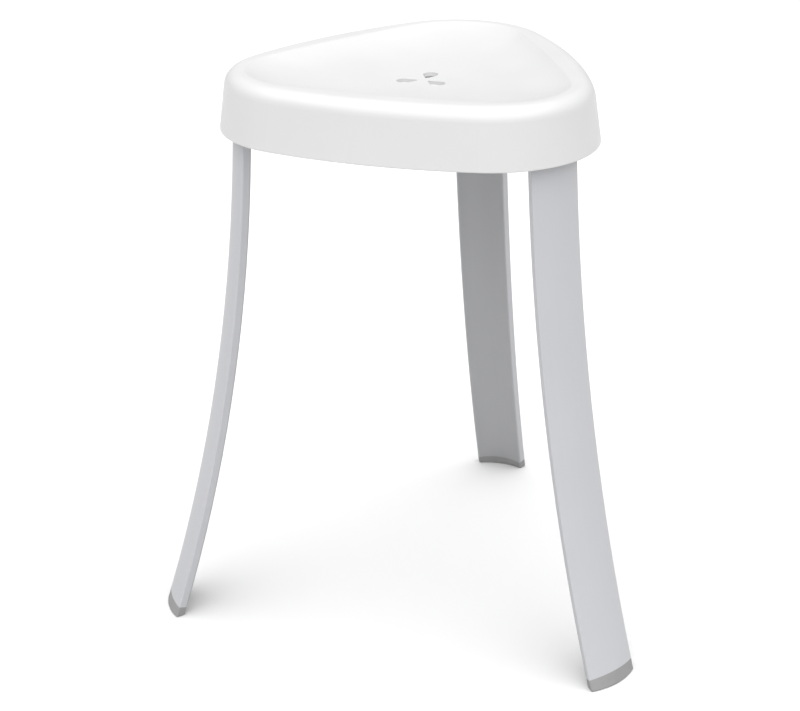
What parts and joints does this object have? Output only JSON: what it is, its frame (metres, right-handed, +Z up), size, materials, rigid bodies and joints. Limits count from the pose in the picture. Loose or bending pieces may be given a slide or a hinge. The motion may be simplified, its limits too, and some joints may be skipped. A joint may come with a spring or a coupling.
{
  "type": "shower stool",
  "caption": "Three-legged shower stool: dished rounded-triangle plastic seat on bowed aluminium strip legs with grey rubber feet.",
  "frame": {"origin": "on the floor, on the stool's axis", "axes": "+Z up; +Y towards the rear leg; the other two legs at 30 degrees below -X and +X"},
  "size_m": [0.4142, 0.364, 0.47],
  "materials": {
    "seat_plastic": "satin",
    "anodised": "satin",
    "grey_rubber": "matte",
    "stainless": "satin"
  },
  "bodies": {
    "root": {"seat_shell": "seat_plastic", "leg_rear": "anodised", "foot_rear": "grey_rubber", "nut_plate_rear": "stainless", "washer_rear_low": "stainless", "screw_rear_low": "stainless", "washer_rear_high": "stainless", "screw_rear_high": "stainless", "leg_left": "anodised", "foot_left": "grey_rubber", "nut_plate_left": "stainless", "washer_left_low": "stainless", "screw_left_low": "stainless", "washer_left_high": "stainless", "screw_left_high": "stainless", "leg_right": "anodised", "foot_right": "grey_rubber", "nut_plate_right": "stainless", "washer_right_low": "stainless", "screw_right_low": "stainless", "washer_right_high": "stainless", "screw_right_high": "stainless"}
  },
  "joints": []
}
